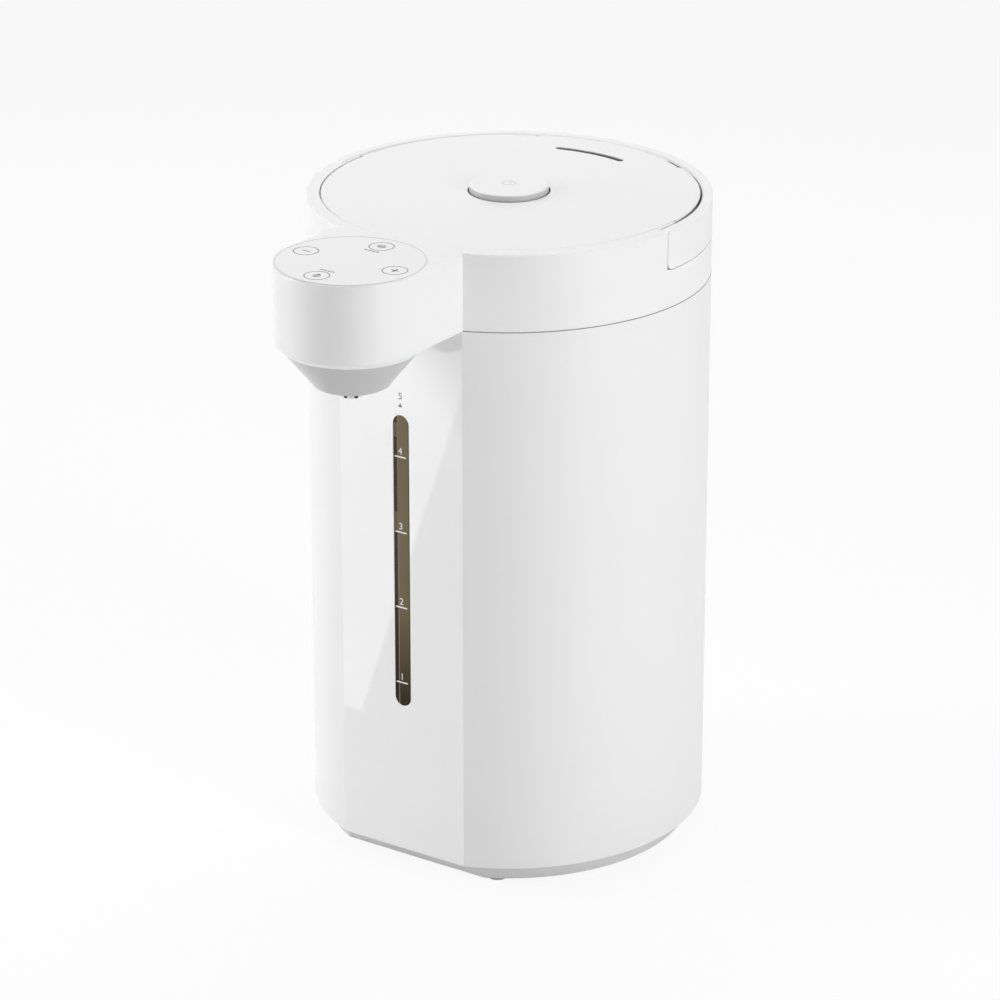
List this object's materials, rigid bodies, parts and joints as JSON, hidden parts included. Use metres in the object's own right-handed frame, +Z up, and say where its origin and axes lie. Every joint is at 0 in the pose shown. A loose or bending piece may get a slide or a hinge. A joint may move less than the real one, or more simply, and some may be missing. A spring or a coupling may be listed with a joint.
{
  "type": "electric water boiler",
  "caption": "Round electric hot water dispenser with a control nose and spout in front, a hinged lid with a push button and a fold-flat carrying handle.",
  "frame": {"origin": "middle of the outline, on the table under the feet", "axes": "+Z up, -Y towards the control nose and spout, +X towards the right-hand side for someone looking at the front"},
  "size_m": [0.21, 0.2824, 0.3525],
  "materials": {
    "shell_lacquer": "satin white lacquer",
    "panel_gloss": "gloss white",
    "window_tint": "tinted clear",
    "white_plastic": "fine satin white",
    "grey_plastic": "light grey",
    "silicone": "translucent white silicone",
    "clear_glass": "clear",
    "steel": "brushed",
    "felt": "fibre felt",
    "aluminium": "as cast",
    "brass": "plain",
    "dark_plastic": "matt black",
    "board": "green board",
    "rubber": "matt"
  },
  "bodies": {
    "body": {"base_screws": "steel", "base_tray": "grey_plastic", "board_components": "dark_plastic", "boil_thermostat": "dark_plastic", "delivery_hose": "silicone", "foot_1": "rubber", "foot_2": "rubber", "foot_3": "rubber", "foot_4": "rubber", "front_panel": "panel_gloss", "handle_pin_left": "steel", "handle_pin_right": "steel", "heater_terminals": "brass", "heating_plate": "aluminium", "inlet_pins": "brass", "inlet_socket": "dark_plastic", "inner_pot": "steel", "insulation_wrap": "felt", "level_seal_lower": "silicone", "level_seal_upper": "silicone", "level_tube": "clear_glass", "nozzle": "white_plastic", "outer_shell": "shell_lacquer", "pot_gasket": "silicone", "pot_support": "steel", "power_board": "board", "pump_cover": "dark_plastic", "pump_housing": "dark_plastic", "pump_motor": "steel", "safety_thermostat": "dark_plastic", "spout_cowl": "grey_plastic", "spout_hose": "silicone", "suction_hose": "silicone", "top_collar": "white_plastic", "touch_board": "board", "touch_panel": "panel_gloss", "window_lens": "window_tint"},
    "lid": {"lid_cover": "white_plastic", "lid_hinge_pin": "steel", "steam_trough": "dark_plastic", "lid_cup": "white_plastic", "lid_inner_cover": "steel", "lid_gasket": "silicone", "button_spring": "steel"},
    "button": {"lid_button": "white_plastic"},
    "bolt_left": {"latch_bolt_left": "white_plastic"},
    "bolt_right": {"latch_bolt_right": "white_plastic"},
    "handle": {"carry_handle": "white_plastic"},
    "rotor": {"impeller": "dark_plastic"}
  },
  "joints": [
    {"name": "lid_hinge", "type": "hinge", "parent": "body", "child": "lid", "pos_m": [0, 0.12225, 0.34635], "axis": [-1, 0, 0], "range_deg": [0, 70]},
    {"name": "button_press", "type": "slide", "parent": "lid", "child": "button", "axis": [0, 0, -1], "range_m": [0, 0.003], "stiffness_N_per_m": 600, "deforming": ["button_spring"]},
    {"name": "latch_left_slide", "type": "slide", "parent": "lid", "child": "bolt_left", "axis": [0, 1, 0], "range_m": [0, 0.0034]},
    {"name": "latch_right_slide", "type": "slide", "parent": "lid", "child": "bolt_right", "axis": [0, 1, 0], "range_m": [0, 0.0034]},
    {"name": "handle_swing", "type": "hinge", "parent": "body", "child": "handle", "pos_m": [0, 0.03025, 0.34425], "axis": [1, 0, 0], "range_deg": [0, 90]},
    {"name": "impeller_spin", "type": "hinge", "parent": "body", "child": "rotor", "pos_m": [-0.052, 0.01525, 0.04], "axis": [0, 0, 1], "continuous": true}
  ],
  "couplings": [
    {"joint": "latch_left_slide", "follows": "button_press", "ratio": 1.13},
    {"joint": "latch_right_slide", "follows": "button_press", "ratio": 1.13}
  ]
}
